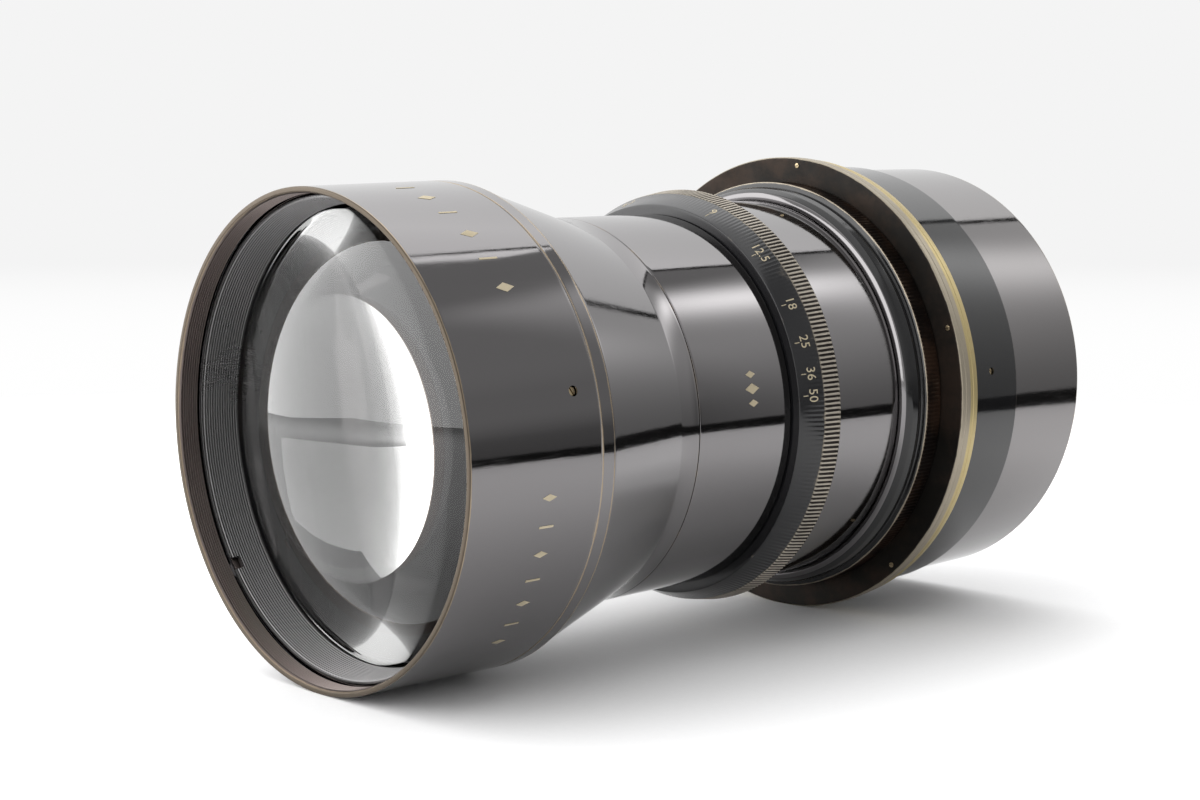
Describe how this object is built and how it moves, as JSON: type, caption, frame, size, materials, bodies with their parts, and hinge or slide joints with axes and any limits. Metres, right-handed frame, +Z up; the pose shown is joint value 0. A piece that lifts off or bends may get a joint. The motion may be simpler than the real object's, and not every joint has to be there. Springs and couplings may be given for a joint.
{
  "type": "barrel lens",
  "caption": "Black-lacquered brass camera lens in barrel, with a wide stepped front, a conical neck, a numbered iris ring, a thin mounting flange and a plain rear tube.",
  "frame": {"origin": "on the lens axis at the rear face of the mounting flange, where the lens board sits", "axes": "+Y along the lens axis towards the rear, away from the subject; the front rim is at -Y; +Z up in the pose shown, square to the axis"},
  "size_m": [0.076, 0.1305, 0.076],
  "materials": {
    "black_lacquer": "glossy black lacquer over brass, fine turned lines, worn to brass at the edges",
    "matt_black": "dull black, fine turned grooves",
    "worn_brass": "bare brass edge, black faces, tarnished",
    "knurled_brass": "black bevel with pale numbers, fine straight knurl worn to grey brass",
    "browned_brass": "dark brown, fine straight knurl",
    "blade_steel": "thin blackened steel",
    "screw_brass": "small brass screws",
    "glass": "polished, uncoated"
  },
  "bodies": {
    "barrel": {"front_hood": "black_lacquer", "front_retaining_ring": "matt_black", "front_glass_cell": "matt_black", "front_crown_element": "glass", "front_flint_element": "glass", "front_set_screw": "screw_brass", "cone_barrel": "black_lacquer", "main_barrel": "black_lacquer", "iris_base_plate": "matt_black", "iris_retaining_ring": "matt_black", "rear_collar": "browned_brass", "mounting_flange": "worn_brass", "flange_backing_ring": "worn_brass", "flange_screw_1": "screw_brass", "flange_screw_2": "screw_brass", "flange_screw_3": "screw_brass", "flange_screw_4": "screw_brass", "flange_screw_5": "screw_brass", "rear_mount_ring": "black_lacquer", "mount_ring_set_screw": "screw_brass", "rear_tube": "black_lacquer", "rear_lock_nut": "matt_black", "rear_cell": "matt_black", "rear_front_element": "glass", "rear_back_element": "glass", "rear_retaining_ring": "matt_black"},
    "iris_ring": {"iris_control_ring": "knurled_brass", "iris_drive_screw": "screw_brass", "iris_cam_ring": "matt_black"},
    "iris_blade_01": {"iris_blade_01": "blade_steel"},
    "iris_blade_02": {"iris_blade_02": "blade_steel"},
    "iris_blade_03": {"iris_blade_03": "blade_steel"},
    "iris_blade_04": {"iris_blade_04": "blade_steel"},
    "iris_blade_05": {"iris_blade_05": "blade_steel"},
    "iris_blade_06": {"iris_blade_06": "blade_steel"},
    "iris_blade_07": {"iris_blade_07": "blade_steel"},
    "iris_blade_08": {"iris_blade_08": "blade_steel"},
    "iris_blade_09": {"iris_blade_09": "blade_steel"},
    "iris_blade_10": {"iris_blade_10": "blade_steel"},
    "iris_blade_11": {"iris_blade_11": "blade_steel"},
    "iris_blade_12": {"iris_blade_12": "blade_steel"},
    "iris_blade_13": {"iris_blade_13": "blade_steel"},
    "iris_blade_14": {"iris_blade_14": "blade_steel"},
    "iris_blade_15": {"iris_blade_15": "blade_steel"},
    "iris_blade_16": {"iris_blade_16": "blade_steel"},
    "iris_blade_17": {"iris_blade_17": "blade_steel"},
    "iris_blade_18": {"iris_blade_18": "blade_steel"}
  },
  "joints": [
    {"name": "iris_ring_turn", "type": "hinge", "parent": "barrel", "child": "iris_ring", "pos_m": [0, -0.0305, 0], "axis": [0, -1, 0], "range_deg": [0, 98]},
    {"name": "iris_blade_01_swing", "type": "hinge", "parent": "barrel", "child": "iris_blade_01", "pos_m": [0.0252, -0.0356, 0], "axis": [0, -1, 0], "range_deg": [0, 45]},
    {"name": "iris_blade_02_swing", "type": "hinge", "parent": "barrel", "child": "iris_blade_02", "pos_m": [0.02368, -0.0356, 0.00862], "axis": [0, -1, 0], "range_deg": [0, 45]},
    {"name": "iris_blade_03_swing", "type": "hinge", "parent": "barrel", "child": "iris_blade_03", "pos_m": [0.0193, -0.0356, 0.0162], "axis": [0, -1, 0], "range_deg": [0, 45]},
    {"name": "iris_blade_04_swing", "type": "hinge", "parent": "barrel", "child": "iris_blade_04", "pos_m": [0.0126, -0.0356, 0.02182], "axis": [0, -1, 0], "range_deg": [0, 45]},
    {"name": "iris_blade_05_swing", "type": "hinge", "parent": "barrel", "child": "iris_blade_05", "pos_m": [0.00438, -0.0356, 0.02482], "axis": [0, -1, 0], "range_deg": [0, 45]},
    {"name": "iris_blade_06_swing", "type": "hinge", "parent": "barrel", "child": "iris_blade_06", "pos_m": [-0.00438, -0.0356, 0.02482], "axis": [0, -1, 0], "range_deg": [0, 45]},
    {"name": "iris_blade_07_swing", "type": "hinge", "parent": "barrel", "child": "iris_blade_07", "pos_m": [-0.0126, -0.0356, 0.02182], "axis": [0, -1, 0], "range_deg": [0, 45]},
    {"name": "iris_blade_08_swing", "type": "hinge", "parent": "barrel", "child": "iris_blade_08", "pos_m": [-0.0193, -0.0356, 0.0162], "axis": [0, -1, 0], "range_deg": [0, 45]},
    {"name": "iris_blade_09_swing", "type": "hinge", "parent": "barrel", "child": "iris_blade_09", "pos_m": [-0.02368, -0.0356, 0.00862], "axis": [0, -1, 0], "range_deg": [0, 45]},
    {"name": "iris_blade_10_swing", "type": "hinge", "parent": "barrel", "child": "iris_blade_10", "pos_m": [-0.0252, -0.0356, 0], "axis": [0, -1, 0], "range_deg": [0, 45]},
    {"name": "iris_blade_11_swing", "type": "hinge", "parent": "barrel", "child": "iris_blade_11", "pos_m": [-0.02368, -0.0356, -0.00862], "axis": [0, -1, 0], "range_deg": [0, 45]},
    {"name": "iris_blade_12_swing", "type": "hinge", "parent": "barrel", "child": "iris_blade_12", "pos_m": [-0.0193, -0.0356, -0.0162], "axis": [0, -1, 0], "range_deg": [0, 45]},
    {"name": "iris_blade_13_swing", "type": "hinge", "parent": "barrel", "child": "iris_blade_13", "pos_m": [-0.0126, -0.0356, -0.02182], "axis": [0, -1, 0], "range_deg": [0, 45]},
    {"name": "iris_blade_14_swing", "type": "hinge", "parent": "barrel", "child": "iris_blade_14", "pos_m": [-0.00438, -0.0356, -0.02482], "axis": [0, -1, 0], "range_deg": [0, 45]},
    {"name": "iris_blade_15_swing", "type": "hinge", "parent": "barrel", "child": "iris_blade_15", "pos_m": [0.00438, -0.0356, -0.02482], "axis": [0, -1, 0], "range_deg": [0, 45]},
    {"name": "iris_blade_16_swing", "type": "hinge", "parent": "barrel", "child": "iris_blade_16", "pos_m": [0.0126, -0.0356, -0.02182], "axis": [0, -1, 0], "range_deg": [0, 45]},
    {"name": "iris_blade_17_swing", "type": "hinge", "parent": "barrel", "child": "iris_blade_17", "pos_m": [0.0193, -0.0356, -0.0162], "axis": [0, -1, 0], "range_deg": [0, 45]},
    {"name": "iris_blade_18_swing", "type": "hinge", "parent": "barrel", "child": "iris_blade_18", "pos_m": [0.02368, -0.0356, -0.00862], "axis": [0, -1, 0], "range_deg": [0, 45]}
  ],
  "couplings": [
    {"joint": "iris_blade_01_swing", "follows": "iris_ring_turn", "ratio": 0.45918},
    {"joint": "iris_blade_02_swing", "follows": "iris_ring_turn", "ratio": 0.45918},
    {"joint": "iris_blade_03_swing", "follows": "iris_ring_turn", "ratio": 0.45918},
    {"joint": "iris_blade_04_swing", "follows": "iris_ring_turn", "ratio": 0.45918},
    {"joint": "iris_blade_05_swing", "follows": "iris_ring_turn", "ratio": 0.45918},
    {"joint": "iris_blade_06_swing", "follows": "iris_ring_turn", "ratio": 0.45918},
    {"joint": "iris_blade_07_swing", "follows": "iris_ring_turn", "ratio": 0.45918},
    {"joint": "iris_blade_08_swing", "follows": "iris_ring_turn", "ratio": 0.45918},
    {"joint": "iris_blade_09_swing", "follows": "iris_ring_turn", "ratio": 0.45918},
    {"joint": "iris_blade_10_swing", "follows": "iris_ring_turn", "ratio": 0.45918},
    {"joint": "iris_blade_11_swing", "follows": "iris_ring_turn", "ratio": 0.45918},
    {"joint": "iris_blade_12_swing", "follows": "iris_ring_turn", "ratio": 0.45918},
    {"joint": "iris_blade_13_swing", "follows": "iris_ring_turn", "ratio": 0.45918},
    {"joint": "iris_blade_14_swing", "follows": "iris_ring_turn", "ratio": 0.45918},
    {"joint": "iris_blade_15_swing", "follows": "iris_ring_turn", "ratio": 0.45918},
    {"joint": "iris_blade_16_swing", "follows": "iris_ring_turn", "ratio": 0.45918},
    {"joint": "iris_blade_17_swing", "follows": "iris_ring_turn", "ratio": 0.45918},
    {"joint": "iris_blade_18_swing", "follows": "iris_ring_turn", "ratio": 0.45918}
  ]
}
